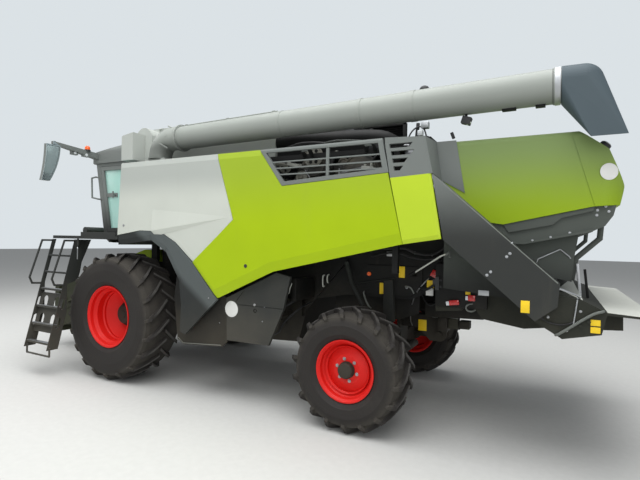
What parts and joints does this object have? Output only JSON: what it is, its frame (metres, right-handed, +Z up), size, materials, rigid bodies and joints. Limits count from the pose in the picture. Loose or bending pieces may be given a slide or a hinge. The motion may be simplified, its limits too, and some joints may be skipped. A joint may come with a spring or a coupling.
{
  "type": "combine harvester",
  "caption": "Self-propelled combine harvester, parked without its header: cab, grain tank, unloading tube, gull-wing side panels and straw chopper.",
  "frame": {"origin": "on the ground, below the middle of the machine's overall length and width", "axes": "+X towards the front of the machine, +Y to its left, +Z up"},
  "size_m": [8.9, 3.874, 3.6517],
  "materials": {
    "lime": "gloss paint",
    "light_grey": "gloss paint",
    "anthracite": "satin paint",
    "frame_black": "satin paint",
    "tube_grey": "gloss paint",
    "rim_red": "gloss paint",
    "tyre": "matte",
    "steel": "bare steel",
    "engine_grey": "rough",
    "glass": "tinted",
    "plastic": "grained",
    "fabric": "woven",
    "lamp": "clear"
  },
  "bodies": {
    "machine": {"main_frame": "frame_black", "thresher_body": "frame_black", "front_axle": "frame_black", "rear_axle": "frame_black", "grain_tank": "light_grey", "engine": "engine_grey", "engine_deck": "frame_black", "cab_shell": "anthracite", "cab_roof": "anthracite", "cab_glass": "glass", "cab_seat": "fabric", "cab_console": "plastic", "platform": "anthracite", "mirrors": "anthracite", "fenders": "anthracite", "lower_panels": "anthracite", "rear_panels": "lime", "side_guards": "anthracite", "rear_hood": "lime", "hood_base": "anthracite", "straw_chopper": "anthracite", "lamps": "lamp"},
    "feeder": {"feeder_house": "lime", "feeder_chain": "steel"},
    "lift_barrel": {"lift_barrels": "frame_black"},
    "lift_rod": {"lift_rods": "steel"},
    "door": {"cab_door": "anthracite", "door_glass": "glass"},
    "ladder": {"ladder": "anthracite"},
    "side_panel_left": {"light_panel_left": "light_grey", "green_panel_left": "lime", "grille_left": "anthracite"},
    "side_panel_right": {"light_panel_right": "light_grey", "green_panel_right": "lime", "grille_right": "anthracite"},
    "auger": {"unloading_tube": "tube_grey", "tube_spout": "anthracite"},
    "lid_left": {"tank_lid_left": "light_grey"},
    "lid_right": {"tank_lid_right": "light_grey"},
    "steer_left": {"knuckle_left": "frame_black"},
    "steer_right": {"knuckle_right": "frame_black"},
    "wheel_front_left": {"rim_front_left": "rim_red", "tyre_front_left": "tyre"},
    "wheel_front_right": {"rim_front_right": "rim_red", "tyre_front_right": "tyre"},
    "wheel_rear_left": {"rim_rear_left": "rim_red", "tyre_rear_left": "tyre"},
    "wheel_rear_right": {"rim_rear_right": "rim_red", "tyre_rear_right": "tyre"}
  },
  "joints": [
    {"name": "feeder_lift", "type": "hinge", "parent": "machine", "child": "feeder", "pos_m": [2.1, 0, 1.5], "axis": [0, -1, 0], "range_deg": [-3, 15]},
    {"name": "barrel_swing", "type": "hinge", "parent": "machine", "child": "lift_barrel", "pos_m": [2, 0, 0.5], "axis": [0, -1, 0], "range_deg": [-2.79, 9.94]},
    {"name": "rod_slide", "type": "slide", "parent": "lift_barrel", "child": "lift_rod", "axis": [0.9592, 0, 0.2827], "range_m": [-0.0573, 0.2467]},
    {"name": "door_swing", "type": "hinge", "parent": "machine", "child": "door", "pos_m": [2.02, 0.96, 2.6], "axis": [0, 0, 1], "range_deg": [0, 85]},
    {"name": "ladder_swing", "type": "hinge", "parent": "machine", "child": "ladder", "pos_m": [2.65, 1.5, 1.9], "axis": [0, 0, -1], "range_deg": [0, 90]},
    {"name": "panel_left", "type": "hinge", "parent": "machine", "child": "side_panel_left", "pos_m": [1.85, 1.453, 3.02], "axis": [1, 0, 0], "range_deg": [0, 80]},
    {"name": "panel_right", "type": "hinge", "parent": "machine", "child": "side_panel_right", "pos_m": [1.85, -1.453, 3.02], "axis": [-1, 0, 0], "range_deg": [0, 80]},
    {"name": "auger_swing", "type": "hinge", "parent": "machine", "child": "auger", "pos_m": [1.16, 1.3, 3.06], "axis": [0, 0, -1], "range_deg": [0, 100]},
    {"name": "lid_left", "type": "hinge", "parent": "machine", "child": "lid_left", "pos_m": [0.56, 1.086, 3.61], "axis": [-1, 0, 0], "range_deg": [0, 105]},
    {"name": "lid_right", "type": "hinge", "parent": "machine", "child": "lid_right", "pos_m": [0.56, -1.086, 3.61], "axis": [1, 0, 0], "range_deg": [0, 105]},
    {"name": "steer_left", "type": "hinge", "parent": "machine", "child": "steer_left", "pos_m": [-1.78, 0.923, 0.655], "axis": [0, 0, 1], "range_deg": [-42, 42]},
    {"name": "steer_right", "type": "hinge", "parent": "machine", "child": "steer_right", "pos_m": [-1.78, -0.923, 0.655], "axis": [0, 0, 1], "range_deg": [-42, 42]},
    {"name": "spin_front_left", "type": "hinge", "parent": "machine", "child": "wheel_front_left", "pos_m": [1.85, 1.3, 0.895], "axis": [0, 1, 0], "continuous": true},
    {"name": "spin_front_right", "type": "hinge", "parent": "machine", "child": "wheel_front_right", "pos_m": [1.85, -1.3, 0.895], "axis": [0, 1, 0], "continuous": true},
    {"name": "spin_rear_left", "type": "hinge", "parent": "steer_left", "child": "wheel_rear_left", "pos_m": [-1.78, 1.273, 0.655], "axis": [0, 1, 0], "continuous": true},
    {"name": "spin_rear_right", "type": "hinge", "parent": "steer_right", "child": "wheel_rear_right", "pos_m": [-1.78, -1.273, 0.655], "axis": [0, 1, 0], "continuous": true}
  ],
  "couplings": [
    {"joint": "barrel_swing", "follows": "feeder_lift", "ratio": 0.596},
    {"joint": "rod_slide", "follows": "feeder_lift", "m_per_rad": 0.9043},
    {"joint": "steer_right", "follows": "steer_left", "ratio": 1}
  ]
}
